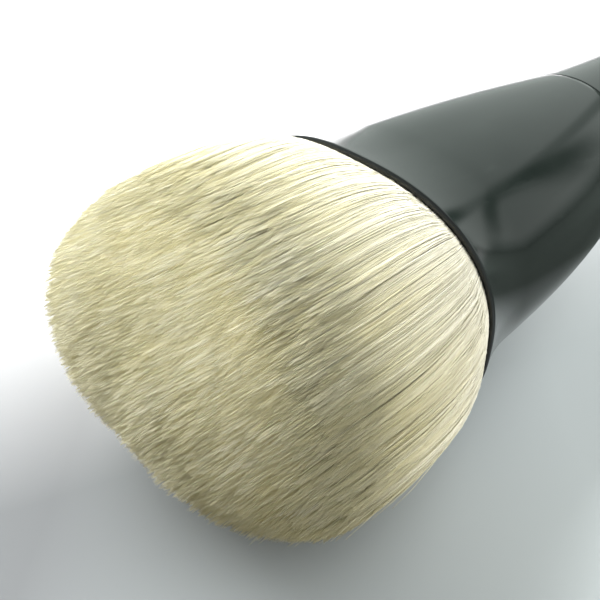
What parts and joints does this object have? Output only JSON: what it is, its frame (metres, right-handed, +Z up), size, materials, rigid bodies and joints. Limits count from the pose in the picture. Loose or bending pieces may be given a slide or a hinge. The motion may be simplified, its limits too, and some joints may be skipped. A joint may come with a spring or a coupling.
{
  "type": "kabuki makeup brush",
  "caption": "Short-handled makeup brush with an oval domed hair head, a flared oval ferrule and a waisted handle with a flat foot.",
  "frame": {"origin": "middle of the brush's outline on the surface that it lies on", "axes": "+X along the brush from the hair to the foot, +Y across its flat, +Z up through its thickness"},
  "size_m": [0.1182, 0.043, 0.0324],
  "materials": {
    "hair": "fine creamy white natural hair",
    "packed_hair": "tightly packed natural hair",
    "thread": "waxed thread",
    "resin": "clear amber resin",
    "ferrule_gloss": "polished black",
    "insert_plastic": "as moulded",
    "handle_gloss": "polished black",
    "steel": "turned bar",
    "cap_plastic": "fine satin black"
  },
  "bodies": {
    "root": {"bristles": "hair", "hair_core": "packed_hair", "root_binding": "thread", "glue_plug": "resin", "ferrule": "ferrule_gloss", "neck_insert": "insert_plastic", "handle": "handle_gloss", "handle_weight": "steel", "foot_cap": "cap_plastic"}
  },
  "joints": []
}
